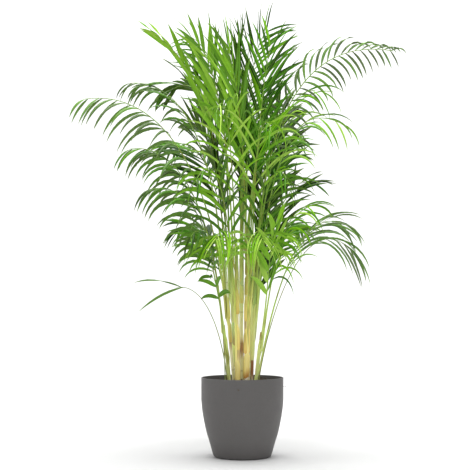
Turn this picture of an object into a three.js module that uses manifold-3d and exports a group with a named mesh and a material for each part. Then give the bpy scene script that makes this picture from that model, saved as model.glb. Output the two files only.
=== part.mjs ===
// A clustering feather palm about 1.3 m tall, growing in a plain round pot.
// Millimetres, +Z up. The origin is the centre of the pot's underside.
import * as THREE from 'three';
import Module from 'manifold-3d';
import { mergeVertices } from 'three/addons/utils/BufferGeometryUtils.js';

// ---- driving dimensions -------------------------------------------------
const GAP = 0.35;             // air between pieces that would otherwise touch
const AROUND = 36;            // sides of the pot and of the soil

const POT_HEIGHT = 222;
const POT_WALL = 3.5;
const POT_FLOOR = 4;
const POT_OUTSIDE = [         // radius, height, from the foot to the rim
  [76.5, 0], [80.7, 3], [85, 15], [93, 43], [100.7, 68],
  [107, 95], [113, 129], [116, 160], [116, POT_HEIGHT],
];

const SOIL_EDGE = 198;        // where the soil meets the pot's wall
const SOIL_TOP = 215;         // flat crown of the mound that the canes leave
const SOIL_CROWN_RADIUS = 66;
const SOIL_SHOULDER = [90, 207]; // radius, height of the mound's shoulder
const ROOT_DEPTH = 40;        // how far canes and soil-grown stalks go down

const CANE_SIDES = 8;
const CANE_TAPER = [[0, 1.12], [0.2, 1], [0.6, 0.9], [1, 0.62]];
const STALK_SIDES = 4;
const BARE_STEPS = 3;           // straight runs in the stalk below its leaflets
const STALK_FOOT_RADIUS = 2.8;
const STALK_NECK_RADIUS = 1.8;  // where the first leaflets sit
const STALK_TIP_RADIUS = 0.9;
const FOOT_STANDOFF = 0.9;      // a stalk's foot beside its cane
const RISE_DEPTH = 0.12;        // how far along Y, foot to tip, the arch's
const REACH_DEPTH = 0.55;       // two inner control points sit

const LEAFLETS_PER_SIDE = 5;    // at most; small fronds have fewer
const BLADE_THICKNESS = 1.3;
const BLADE_RINGS = [[0.3, 1], [0.7, 0.66]]; // along, share of the half width
const LEAFLET_BROADEST = 0.375; // along the leafy part, where leaflets are longest
const LEAFLET_FALL = 1.4;       // how fast they shorten away from there
const LEAFLET_LIMP = 0.25;      // droop of a leaflet that points straight up
const LEAFLET_CLOSING = 1.3;    // how late along the frond the leaflets fold in,
const LEAFLET_CLOSED = 0.7;     // and what is left of their angle at its tip
const LEAFLET_LEAN = 0.45;      // how far their droop leans towards the tip
const BEND_LEVEL = 0.75;        // how late along itself a level leaflet bends, and
const BEND_UPRIGHT = 1.5;       // how much later one that points straight up does
const BEND_STEPS = 24;
const NEAREST_TO_PLUMB = 0.92;  // share of the turn to straight down, at most
const SHORTENED = [1, 0.8, 0.6, 0.4]; // sizes tried where a leaflet is in the way
const SLIVER = 0.03;
const ROW_RISE = 25;            // degrees the two rows of leaflets stand up, less
const ROW_SINK = 28;            // what they sink for each unit of droop, but never
const ROW_LOWEST = -20;         // below this

// Canes: x and y in the soil, x and y at the top, top height, radius.
const CANES = {
  cane_1: [-13, -27, -17, -36, 600, 6.2],
  cane_2: [11, -24, 16, -32, 640, 7.8],
  cane_3: [-26, -6, -50, -2, 560, 4.2],
  cane_4: [25, -3, 44, 2, 600, 4.4],
  cane_5: [38, -25, 52.5, -32, 350, 3.8],
  cane_6: [-37, -25, -50.5, -31, 370, 3.9],
  cane_7: [-2, 6, -2, 10, 680, 6],
  cane_8: [21, 31, 28, 54, 560, 4.8],
  cane_9: [-20, 29, -32, 56, 540, 4.8],
};

// Fronds. `from` is a cane and a height on it, or a point in the soil. The
// stalk is one Bezier arch: `rise` and `reach` are its two inner control
// points (x, z), `tip` is its end (x, y, z). `foot` is the side of the cane it
// grows from, in degrees from +X, and `swing` turns the whole frond about the
// cane; without them it grows straight towards its tip. `bare` is the part of
// the stalk without leaflets. `leaf` is the longest leaflet's length, half
// width and the leaflets a side; `roll`, `open` and `droop` turn the rows about
// the stalk, spread them from it (both in degrees) and bend them down.
const FRONDS = [
  { name: 'right_1', from: ['cane_4', 430], rise: [34, 850], reach: [130, 1200],
    tip: [425, -60, 1140], bare: 0.48, leaf: [112, 3.8, 24], roll: 105, open: 52, droop: 4 },
  { name: 'right_2', from: ['cane_4', 390], rise: [64, 740], reach: [110, 1010],
    tip: [262, -140, 925], bare: 0.5, leaf: [175, 3.4, 8], roll: 35, open: 40, droop: 1.4 },
  { name: 'right_3', from: ['cane_8', 430], rise: [60, 760], reach: [105, 1050],
    tip: [205, -60, 1028], bare: 0.5, leaf: [195, 3.4, 7], roll: 20, open: 42, droop: 1.6 },
  { name: 'right_4', from: ['cane_8', 380], rise: [75, 640], reach: [125, 800],
    tip: [205, 110, 790], bare: 0.45, leaf: [160, 6, 9], roll: 30, open: 40, droop: 0.6 },
  { name: 'right_5', from: ['cane_5', 300], rise: [84, 540], reach: [110, 690],
    tip: [185, -110, 700], bare: 0.45, leaf: [175, 3.6, 10], roll: 26, open: 50, droop: 1.9 },
  { name: 'right_6', from: ['cane_5', 245], rise: [84, 430], reach: [150, 700],
    tip: [275, -60, 655], bare: 0.55, leaf: [195, 3.6, 12], roll: 20, open: 34, droop: 1.3 },
  { name: 'right_7', from: [40, -44], rise: [60, 360], reach: [165, 715],
    tip: [300, -95, 578], bare: 0.83, leaf: [160, 3.2, 5], roll: 20, open: 36, droop: 1.6 },
  { name: 'right_8', from: ['cane_5', 330], rise: [84, 440], reach: [105, 560], swing: -30,
    tip: [150, -130, 640], bare: 0.4, leaf: [135, 9, 7], roll: 30, open: 32, droop: 0.6 },
  { name: 'left_1', from: ['cane_9', 500], rise: [-60, 850], reach: [-95, 1080], foot: 235,
    tip: [-232, -40, 1180], bare: 0.6, leaf: [150, 6.5, 7], roll: 35, open: 14, droop: 0.35 },
  { name: 'left_2', from: ['cane_3', 455], rise: [-72, 870], reach: [-175, 1085], swing: -8,
    tip: [-345, 60, 1080], bare: 0.5, leaf: [140, 4.6, 12], roll: 10, open: 36, droop: 1.4 },
  { name: 'left_3', from: ['cane_3', 390], rise: [-72, 760], reach: [-215, 1040],
    tip: [-440, -80, 1000], bare: 0.46, leaf: [170, 4.8, 12], roll: 8, open: 60, droop: 3 },
  { name: 'left_4', from: ['cane_6', 350], rise: [-72, 650], reach: [-165, 890], swing: -3,
    tip: [-315, -60, 864], bare: 0.45, leaf: [160, 5.2, 11], roll: 10, open: 46, droop: 2.2 },
  { name: 'left_5', from: ['cane_6', 295], rise: [-72, 600], reach: [-120, 770], foot: 235,
    tip: [-252, -110, 745], bare: 0.42, leaf: [165, 5, 11], roll: 10, open: 46, droop: 2.2 },
  { name: 'left_6', from: ['cane_6', 280], rise: [-70, 480], reach: [-105, 690], foot: 300,
    tip: [-140, -150, 610], bare: 0.6, leaf: [125, 5, 8], roll: 0, open: 50, droop: 2 },
  { name: 'young_2', from: [-47, -38], rise: [-50, 340], reach: [-62, 480],
    tip: [-84, -100, 505], bare: 0.8, leaf: [70, 6.5, 3], roll: 0, open: 50, droop: 1.2 },
  { name: 'left_7', from: ['cane_9', 445], rise: [-50, 800], reach: [-85, 1130], foot: 154,
    tip: [-200, 80, 1060], bare: 0.5, leaf: [190, 10.5, 12], roll: 20, open: 34, droop: 0.8 },
  { name: 'young_1', from: [-38, -45], rise: [-50, 340], reach: [-100, 490],
    tip: [-182, -110, 474], bare: 0.95, leaf: [150, 4.2, 1], roll: 50, open: 25, droop: 0.5 },
  { name: 'top_1', from: ['cane_7', 600], rise: [18, 880], reach: [10, 1150],
    tip: [72, 10, 1216], bare: 0.42, leaf: [212, 4.4, 20], roll: 118, open: 42, droop: 0.45 },
  { name: 'top_2', from: ['cane_7', 560], rise: [-4, 850], reach: [-15, 1110],
    tip: [0, -20, 1190], bare: 0.5, leaf: [170, 6, 14], roll: 75, open: 24, droop: 0.25 },
  { name: 'top_3', from: ['cane_9', 535], rise: [-48, 850], reach: [-40, 1140], foot: 255,
    tip: [-146, 10, 1196], bare: 0.5, leaf: [170, 3.4, 14], roll: 60, open: 34, droop: 1 },
  { name: 'top_4', from: ['cane_1', 540], rise: [-34, 800], reach: [-55, 1060],
    tip: [-120, -80, 1150], bare: 0.5, leaf: [190, 6.4, 12], roll: 60, open: 24, droop: 0.3 },
  { name: 'top_5', from: ['cane_2', 580], rise: [10, 800], reach: [-5, 1010],
    tip: [-40, -100, 1140], bare: 0.42, leaf: [210, 5.4, 15], roll: 80, open: 22, droop: 0.35 },
  { name: 'top_6', from: ['cane_2', 520], rise: [34, 800], reach: [50, 1000],
    tip: [78, -60, 1150], bare: 0.42, leaf: [210, 5.4, 15], roll: 80, open: 30, droop: 0.6 },
  { name: 'front_1', from: ['cane_1', 470], rise: [-24, 800], reach: [-40, 1060],
    tip: [-70, -270, 930], bare: 0.45, leaf: [200, 3.4, 9], roll: 15, open: 36, droop: 1.35 },
  { name: 'front_2', from: ['cane_2', 450], rise: [24, 760], reach: [50, 1010],
    tip: [75, -260, 880], bare: 0.45, leaf: [200, 3.4, 9], roll: -15, open: 36, droop: 1.35 },
  { name: 'front_3', from: ['cane_1', 370], rise: [-32, 640], reach: [-60, 880],
    tip: [-120, -250, 760], bare: 0.45, leaf: [185, 4.6, 9], roll: 15, open: 38, droop: 1.35 },
  { name: 'front_4', from: ['cane_2', 360], rise: [40, 640], reach: [75, 860],
    tip: [115, -240, 760], bare: 0.45, leaf: [185, 4.6, 9], roll: -15, open: 38, droop: 1.35 },
  { name: 'low_1', from: ['cane_1', 270], rise: [-18, 540], reach: [-38, 690],
    tip: [-72, -165, 604], bare: 0.68, leaf: [190, 5.6, 10], roll: 0, open: 62, droop: 2.7 },
  { name: 'low_2', from: ['cane_2', 290], rise: [14, 540], reach: [30, 690],
    tip: [56, -185, 600], bare: 0.68, leaf: [190, 4.6, 10], roll: 0, open: 62, droop: 2.7 },
  { name: 'inner_1', from: ['cane_8', 440], rise: [50, 750], reach: [60, 950], swing: -6,
    tip: [110, 150, 1000], bare: 0.4, leaf: [210, 9.5, 12], roll: 60, open: 30, droop: 0.5 },
  { name: 'inner_2', from: ['cane_3', 465], rise: [-58, 700], reach: [-60, 900], swing: 3, foot: 108,
    tip: [-135, 130, 960], bare: 0.4, leaf: [210, 9.5, 13], roll: 60, open: 30, droop: 0.5 },
  { name: 'inner_3', from: ['cane_7', 500], rise: [-4, 700], reach: [0, 900],
    tip: [-20, 120, 960], bare: 0.35, leaf: [200, 9.5, 12], roll: 80, open: 30, droop: 0.5 },
  { name: 'inner_4', from: ['cane_4', 340], rise: [50, 480], reach: [60, 600], swing: -4,
    tip: [75, 60, 690], bare: 0.4, leaf: [130, 9, 8], roll: 70, open: 30, droop: 0.5 },
  { name: 'back_1', from: ['cane_8', 510], rise: [44, 700], reach: [100, 960], swing: 10,
    tip: [200, 300, 950], bare: 0.42, leaf: [180, 7, 14], roll: 0, open: 45, droop: 1 },
  { name: 'back_2', from: ['cane_9', 450], rise: [-46, 700], reach: [-100, 950], foot: 112,
    tip: [-220, 280, 920], bare: 0.42, leaf: [180, 7, 14], roll: 0, open: 45, droop: 1 },
  { name: 'back_3', from: ['cane_8', 330], rise: [46, 500], reach: [90, 740],
    tip: [180, 240, 660], bare: 0.45, leaf: [150, 7, 12], roll: 0, open: 45, droop: 1 },
  { name: 'back_4', from: ['cane_9', 320], rise: [-56, 500], reach: [-90, 720],
    tip: [-190, 230, 650], bare: 0.45, leaf: [150, 7, 12], roll: 0, open: 45, droop: 1 },
  { name: 'back_5', from: ['cane_7', 590], rise: [0, 800], reach: [20, 1080], swing: -6,
    tip: [30, 290, 1040], bare: 0.42, leaf: [180, 7, 14], roll: 0, open: 45, droop: 1 },
];

// Rolled young leaves that stand on a cane's top: the cane, and the tip.
const SPEARS = {
  spear_1: ['cane_7', [6, 24, 960]],
  spear_2: ['cane_2', [58, -105, 950]],
  spear_3: ['cane_4', [74, 40, 840]],
};
const SPEAR_PROFILE = [[0, 0], [0, 3.6], [0.5, 2.9], [1, 0]]; // along, radius
const SPEAR_CLEARANCE = 0.55;   // above the cane's top
const SPEAR_KNEE = 0.4;         // where a spear bows most, and by how much
const SPEAR_BOW = 40;

const COLOURS = {
  pot: 0x5f5e60, soil: 0x3a2a1c, cane: 0xcdbb62, spear: 0xb4c463,
  right: 0x4f8a34, left: 0x4f8a34, young: 0x8fb46a, top: 0x66a83a,
  front: 0x6cb338, low: 0xa6cc62, inner: 0x2f5f2a, back: 0x3f7a30,
};

// ---- solids ---------------------------------------------------------------
const wasm = await Module();
wasm.setup();

function solidOf(geometry) {
  const bare = geometry.clone();
  bare.deleteAttribute('normal');
  bare.deleteAttribute('uv');
  const merged = mergeVertices(bare, 1e-4);
  const corners = merged.index.array;
  const kept = [];
  for (let i = 0; i < corners.length; i += 3) {
    const [a, b, c] = corners.slice(i, i + 3);
    if (a !== b && b !== c && c !== a) kept.push(a, b, c);
  }
  return new wasm.Manifold(new wasm.Mesh({
    numProp: 3,
    vertProperties: merged.attributes.position.array,
    triVerts: Uint32Array.from(kept),
  }));
}

function geometryOf(solid) {
  const mesh = solid.getMesh();
  const geometry = new THREE.BufferGeometry();
  geometry.setAttribute('position', new THREE.BufferAttribute(mesh.vertProperties, 3));
  geometry.setIndex(new THREE.BufferAttribute(mesh.triVerts, 1));
  geometry.computeVertexNormals();
  return geometry;
}

function meshOf(name, solid, colour, roughness) {
  const material = new THREE.MeshStandardMaterial({ color: colour, roughness, metalness: 0 });
  const mesh = new THREE.Mesh(geometryOf(solid), material);
  mesh.name = name;
  return mesh;
}

// A turned rod, radii [distance along 0..1, radius], laid along a curve. `side`
// and `up` give its cross axes at each point.
function rodAlong(curve, profile, sides, frameAt) {
  const outline = profile.map(([along, radius]) => new THREE.Vector2(radius, along));
  const rod = new THREE.LatheGeometry(outline, sides);
  const place = rod.attributes.position;
  const point = new THREE.Vector3();
  for (let i = 0; i < place.count; i += 1) {
    const along = THREE.MathUtils.clamp(place.getY(i), 0, 1);
    const { side, up } = frameAt(along);
    curve.getPointAt(along, point);
    point.addScaledVector(side, place.getX(i));
    point.addScaledVector(up, -place.getZ(i));
    place.setXYZ(i, point.x, point.y, point.z);
  }
  return solidOf(rod);
}

// ---- pot and soil -----------------------------------------------------------
function revolve(points) {
  const outline = points.map(([radius, height]) => new THREE.Vector2(radius, height));
  const turned = new THREE.LatheGeometry(outline, AROUND);
  turned.rotateX(Math.PI / 2);
  return solidOf(turned);
}

function potInside(clearance) {
  return POT_OUTSIDE.slice(1).map(([radius, height]) => [
    radius - POT_WALL - clearance, Math.max(height, POT_FLOOR + clearance)]);
}

function coverPot() {
  return revolve([[0, 0], ...POT_OUTSIDE, ...potInside(0).reverse(), [0, POT_FLOOR]]);
}

function pottingSoil(holes) {
  const wall = potInside(GAP).filter(([, height]) => height < SOIL_EDGE);
  const edgeRadius = wall.at(-1)[0];
  const profile = [
    [0, POT_FLOOR + GAP], ...wall, [edgeRadius, SOIL_EDGE],
    SOIL_SHOULDER, [SOIL_CROWN_RADIUS, SOIL_TOP], [0, SOIL_TOP]];
  return holes.reduce((soil, hole) => soil.subtract(hole), revolve(profile));
}

// ---- canes and spears ---------------------------------------------------------
function caneLine(name, below) {
  const [x, y, topX, topY, top] = CANES[name];
  const base = new THREE.Vector3(x, y, SOIL_TOP);
  const end = new THREE.Vector3(topX, topY, top);
  const down = new THREE.Vector3().subVectors(base, end).normalize();
  return new THREE.LineCurve3(base.addScaledVector(down, below), end);
}

const FLAT_FRAME = () => ({ side: new THREE.Vector3(1, 0, 0), up: new THREE.Vector3(0, 1, 0) });

function cane(name, grow = 0) {
  const radius = CANES[name][5];
  const taper = CANE_TAPER.map(([along, share]) => [along, radius * share + grow]);
  const line = caneLine(name, ROOT_DEPTH + grow);
  return rodAlong(line, [[0, 0], ...taper, [1, 0]], CANE_SIDES, FLAT_FRAME);
}

function spear(name) {
  const [caneName, tip] = SPEARS[name];
  const foot = caneLine(caneName, 0).v2.clone();
  foot.z += SPEAR_CLEARANCE;
  const end = new THREE.Vector3(...tip);
  const knee = foot.clone().lerp(end, SPEAR_KNEE);
  knee.z += SPEAR_BOW;
  const curve = new THREE.QuadraticBezierCurve3(foot, knee, end);
  return rodAlong(curve, SPEAR_PROFILE, STALK_SIDES, FLAT_FRAME);
}

// ---- fronds -----------------------------------------------------------------
function swingAbout(axisX, axisY, degrees) {
  const turn = THREE.MathUtils.degToRad(degrees);
  const centre = new THREE.Vector2(axisX, axisY);
  return (x, y, z) => {
    const flat = new THREE.Vector2(x, y).rotateAround(centre, turn);
    return new THREE.Vector3(flat.x, flat.y, z);
  };
}

function stalkCurve(frond) {
  const [tipX, tipY, tipZ] = frond.tip;
  let [axisX, axisY] = frond.from;
  let footZ = SOIL_TOP - ROOT_DEPTH;
  let standOff = 0;
  if (typeof frond.from[0] === 'string') {
    const [x, y, topX, topY, top, radius] = CANES[frond.from[0]];
    footZ = frond.from[1];
    const share = (footZ - SOIL_TOP) / (top - SOIL_TOP);
    axisX = THREE.MathUtils.lerp(x, topX, share);
    axisY = THREE.MathUtils.lerp(y, topY, share);
    standOff = radius + STALK_FOOT_RADIUS + FOOT_STANDOFF;
  }
  const heading = frond.foot === undefined
    ? Math.atan2(tipY - axisY, tipX - axisX) : THREE.MathUtils.degToRad(frond.foot);
  const footX = axisX + Math.cos(heading) * standOff;
  const footY = axisY + Math.sin(heading) * standOff;
  const place = swingAbout(axisX, axisY, frond.swing ?? 0);
  return new THREE.CubicBezierCurve3(
    place(footX, footY, footZ),
    place(frond.rise[0], THREE.MathUtils.lerp(footY, tipY, RISE_DEPTH), frond.rise[1]),
    place(frond.reach[0], THREE.MathUtils.lerp(footY, tipY, REACH_DEPTH), frond.reach[1]),
    place(tipX, tipY, tipZ));
}

function sunk(curve) {
  const lower = curve.clone();
  lower.v0.z -= GAP;
  return lower;
}

// The stalk's cross axes: `side` is level, `up` is the frond's upper face.
function stalkFrame(curve, along, roll = 0) {
  const tangent = curve.getTangentAt(THREE.MathUtils.clamp(along, 0, 1));
  const across = new THREE.Vector3().subVectors(curve.v3, curve.v0);
  const side = new THREE.Vector3(-across.y, across.x, 0);
  side.addScaledVector(tangent, -side.dot(tangent)).normalize();
  side.applyAxisAngle(tangent, THREE.MathUtils.degToRad(roll));
  const up = new THREE.Vector3().crossVectors(tangent, side);
  return { tangent, side, up };
}

// Where the pairs of leaflets sit, as shares of the leafy part.
function pairPlaces(frond) {
  const count = Math.min(frond.leaf[2], LEAFLETS_PER_SIDE);
  return Array.from({ length: count }, (_, i) => (i + 0.5) / count);
}

const onStalk = (frond, place) => frond.bare + (1 - frond.bare) * place;

function stalk(frond, curve, grow = 0) {
  const profile = [[0, 0]];
  const bareSteps = Array.from({ length: BARE_STEPS }, (_, i) => (i / BARE_STEPS) * frond.bare);
  const leafySteps = pairPlaces(frond).map((place) => onStalk(frond, place));
  for (const along of [...bareSteps, ...leafySteps, 1]) {
    const radius = along < frond.bare
      ? THREE.MathUtils.mapLinear(along, 0, frond.bare, STALK_FOOT_RADIUS, STALK_NECK_RADIUS)
      : THREE.MathUtils.mapLinear(along, frond.bare, 1, STALK_NECK_RADIUS, STALK_TIP_RADIUS);
    profile.push([along, radius + grow]);
  }
  profile.push([1, 0]);
  return rodAlong(curve, profile, STALK_SIDES, (along) => stalkFrame(curve, along));
}

// A leaflet bends from its first direction towards straight down.
class LeafletArc extends THREE.Curve {
  constructor(root, direction, run, length, bend) {
    super();
    this.root = root;
    this.direction = direction;
    this.length = length;
    this.sag = run.clone().multiplyScalar(LEAFLET_LEAN).add(new THREE.Vector3(0, 0, -1));
    this.sag.addScaledVector(direction, -this.sag.dot(direction)).normalize();
    const plumb = Math.acos(THREE.MathUtils.clamp(-direction.z, -1, 1));
    this.bend = Math.min(bend, plumb * NEAREST_TO_PLUMB);
    this.late = BEND_LEVEL + BEND_UPRIGHT * Math.max(direction.z, 0);
  }

  getPoint(along, target = new THREE.Vector3()) {
    target.copy(this.root);
    const step = this.length * along / BEND_STEPS;
    for (let i = 0; i < BEND_STEPS; i += 1) {
      const angle = this.bend * (along * (i + 0.5) / BEND_STEPS) ** this.late;
      target.addScaledVector(this.direction, Math.cos(angle) * step)
        .addScaledVector(this.sag, Math.sin(angle) * step);
    }
    return target;
  }
}

function leafletShare(along) {
  return 1 - LEAFLET_FALL * (along - LEAFLET_BROADEST) ** 2;
}

// A blade is a chain of convex runs: flat on top, with a keel beneath.
function bladeAlong(arc, sideways, halfWidth, thickness) {
  const ringAt = ([along, share]) => {
    const centre = arc.getPointAt(along);
    const run = arc.getTangentAt(along);
    const side = sideways.clone().addScaledVector(run, -sideways.dot(run)).normalize();
    const up = new THREE.Vector3().crossVectors(run, side);
    const edge = side.multiplyScalar(halfWidth * share);
    const lift = up.clone().multiplyScalar(thickness * share / 3);
    return [
      centre.clone().add(edge).add(lift), centre.clone().sub(edge).add(lift),
      centre.clone().addScaledVector(lift, -2)].map((corner) => corner.toArray());
  };
  const ends = [[arc.getPointAt(0).toArray()], [arc.getPointAt(1).toArray()]];
  const rings = [ends[0], ...BLADE_RINGS.map(ringAt), ends[1]];
  return wasm.Manifold.union(rings.slice(1).map(
    (ring, i) => wasm.Manifold.hull([...rings[i], ...ring])));
}

function leaflet(frond, curve, along, hand, scale, grow = 0) {
  const [longest, halfWidth] = frond.leaf;
  const at = onStalk(frond, along);
  const { tangent, side, up } = stalkFrame(curve, at, frond.roll);
  const spread = THREE.MathUtils.degToRad(
    THREE.MathUtils.lerp(frond.open, frond.open * LEAFLET_CLOSED, along ** LEAFLET_CLOSING));
  const rise = THREE.MathUtils.degToRad(
    Math.max(ROW_RISE - ROW_SINK * frond.droop, ROW_LOWEST));
  const direction = tangent.clone().multiplyScalar(Math.cos(spread))
    .addScaledVector(side, hand * Math.cos(rise) * Math.sin(spread))
    .addScaledVector(up, Math.sin(rise) * Math.sin(spread));
  const bend = frond.droop * (LEAFLET_LIMP + Math.hypot(direction.x, direction.y));
  const length = longest * leafletShare(along) * scale + grow * 2;
  const arc = new LeafletArc(curve.getPointAt(at), direction, tangent, length, bend);
  return bladeAlong(arc, tangent, halfWidth + grow, BLADE_THICKNESS + grow * 2);
}

function boxesMeet(a, b) {
  return a.min.every((low, i) => low <= b.max[i]) && b.min.every((low, i) => low <= a.max[i]);
}

function meets(solid, others) {
  const box = solid.boundingBox();
  return others.some((other) => boxesMeet(box, other.box)
    && !solid.intersect(other.solid).isEmpty());
}

const boxed = (owner) => (solid) => ({ owner, solid, box: solid.boundingBox() });

// Crossing leaflets can seal a tiny hollow between them, which is filled, and
// leave slivers finer than SLIVER, which are merged away.
function outerSkin(solid) {
  const pieces = solid.decompose();
  return pieces.reduce((a, b) => (a.volume() > b.volume() ? a : b)).simplify(SLIVER);
}

// A leaflet that would run into another frond is made shorter or left off.
function frondSolid(frond, curve, taken) {
  const others = taken.filter(({ owner }) => owner !== frond.name);
  const leaflets = [];
  for (const along of pairPlaces(frond)) {
    for (const hand of [-1, 1]) {
      const scale = SHORTENED.find((size) => !meets(
        leaflet(frond, curve, along, hand, size, GAP), others));
      if (scale) leaflets.push(leaflet(frond, curve, along, hand, scale));
    }
  }
  taken.push(...leaflets.map(boxed(frond.name)));
  return outerSkin(wasm.Manifold.union([stalk(frond, curve), ...leaflets]));
}

// ---- the plant in its pot ---------------------------------------------------
const plant = new THREE.Group();
const curves = new Map(FRONDS.map((frond) => [frond, stalkCurve(frond)]));
const soilGrown = FRONDS.filter((frond) => typeof frond.from[0] === 'number');
const holes = [
  ...Object.keys(CANES).map((name) => cane(name, GAP)),
  ...soilGrown.map((frond) => stalk(frond, sunk(curves.get(frond)), GAP * 2))];

plant.add(meshOf('cover_pot', coverPot(), COLOURS.pot, 0.6));
plant.add(meshOf('potting_soil', pottingSoil(holes), COLOURS.soil, 0.95));

const taken = [];
for (const name of Object.keys(CANES)) {
  const solid = cane(name);
  taken.push(boxed(name)(solid));
  plant.add(meshOf(name, solid, COLOURS.cane, 0.6));
}
for (const name of Object.keys(SPEARS)) {
  const solid = spear(name);
  taken.push(boxed(name)(solid));
  plant.add(meshOf(name, solid, COLOURS.spear, 0.55));
}
for (const frond of FRONDS) taken.push(boxed(frond.name)(stalk(frond, curves.get(frond))));
for (const frond of FRONDS) {
  const solid = frondSolid(frond, curves.get(frond), taken);
  const colour = COLOURS[frond.name.split('_')[0]];
  plant.add(meshOf(`frond_${frond.name}`, solid, colour, 0.6));
}

export default plant;
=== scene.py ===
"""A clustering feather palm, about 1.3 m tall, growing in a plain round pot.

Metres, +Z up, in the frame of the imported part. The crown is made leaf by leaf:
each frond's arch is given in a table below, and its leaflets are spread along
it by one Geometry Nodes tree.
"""
import math
import random

import bmesh
import bpy
from mathutils import Matrix, Vector, noise


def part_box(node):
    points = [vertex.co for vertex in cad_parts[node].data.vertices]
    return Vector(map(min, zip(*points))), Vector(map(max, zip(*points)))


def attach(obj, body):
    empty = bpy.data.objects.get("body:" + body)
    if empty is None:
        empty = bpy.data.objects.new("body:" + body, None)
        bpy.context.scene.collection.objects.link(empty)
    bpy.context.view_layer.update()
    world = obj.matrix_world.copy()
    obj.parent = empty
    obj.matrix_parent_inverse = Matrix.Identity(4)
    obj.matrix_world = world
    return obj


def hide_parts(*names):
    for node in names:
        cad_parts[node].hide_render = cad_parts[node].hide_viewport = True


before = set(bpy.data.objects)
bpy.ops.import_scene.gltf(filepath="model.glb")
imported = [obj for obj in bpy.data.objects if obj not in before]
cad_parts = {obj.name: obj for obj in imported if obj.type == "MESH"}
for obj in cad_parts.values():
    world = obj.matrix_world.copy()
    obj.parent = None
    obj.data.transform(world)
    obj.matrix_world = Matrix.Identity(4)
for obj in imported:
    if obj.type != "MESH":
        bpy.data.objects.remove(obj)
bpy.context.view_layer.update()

MM = 0.001
SCENE = bpy.context.scene

# ---- the pot and the soil, from the frame --------------------------------------------
POT_LOW, POT_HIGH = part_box("cover_pot")
POT_RADIUS = (POT_HIGH.x - POT_LOW.x) / 2
POT_HEIGHT = POT_HIGH.z
POT_WALL = 3.5 * MM
POT_FLOOR = 4 * MM
# radius and height as shares of the rim's, from the foot to the straight collar
POT_OUTSIDE = (
    (0.696, 0.0135), (0.733, 0.0676), (0.802, 0.194), (0.868, 0.306),
    (0.922, 0.428), (0.974, 0.581), (1.0, 0.721),
)
POT_FOOT = 0.655            # the foot's radius, as a share of the rim's
POT_FOOT_RING = 6 * MM      # how wide the ring is that the pot stands on,
POT_FOOT_STEP = 1.2 * MM    # and how far the base inside it stands clear
POT_COLLAR = 0.86           # halfway up the collar, as a share of the rim's height
POT_LIP_ROUND = 1.2 * MM
POT_SIDES = 128

SOIL_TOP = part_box("potting_soil")[1].z
SOIL_EDGE = SOIL_TOP - 17 * MM
SOIL_CROWN = 66 * MM        # radius of the mound's level middle
SOIL_GAP = 0.6 * MM         # between the mound and the wall
SOIL_SINK = 4 * MM          # room left above the mound for its crumbs
SOIL_LUMPS = 3.2 * MM       # height of its lumps, which die out
SOIL_CALM = 10 * MM         # this near to the wall
SOIL_SKIRT = 50 * MM        # how deep the mound is at the wall
SOIL_NARROWING = 0.94       # its base's radius, as a share of its top's
SOIL_RINGS, SOIL_SIDES = 26, 96

# ---- canes: x and y in the soil, x and y at the top, top height, radius, in mm -------
CANES = {
    "cane_1": (-13, -27, -17, -36, 600, 6.2),
    "cane_2": (11, -24, 16, -32, 640, 7.8),
    "cane_3": (-26, -6, -50, -2, 560, 4.2),
    "cane_4": (25, -3, 44, 2, 600, 4.4),
    "cane_5": (38, -25, 52.5, -32, 350, 3.8),
    "cane_6": (-37, -25, -50.5, -31, 370, 3.9),
    "cane_7": (-2, 6, -2, 10, 680, 6),
    "cane_8": (21, 31, 28, 54, 560, 4.8),
    "cane_9": (-20, 29, -32, 56, 540, 4.8),
}
# how golden each cane is, and the height of its rusty patch, in mm
CANE_RIPENESS = {
    "cane_1": (0.95, 290), "cane_2": (1.0, 420), "cane_3": (0.55, 335),
    "cane_4": (0.1, 250), "cane_5": (0.12, 330), "cane_6": (0.15, 260),
    "cane_7": (0.5, 300), "cane_8": (0.1, 380), "cane_9": (0.1, 280),
}
SPEARS = {
    "spear_1": ("cane_7", (6, 24, 960)),
    "spear_2": ("cane_2", (58, -105, 950)),
    "spear_3": ("cane_4", (74, 40, 840)),
}
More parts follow.
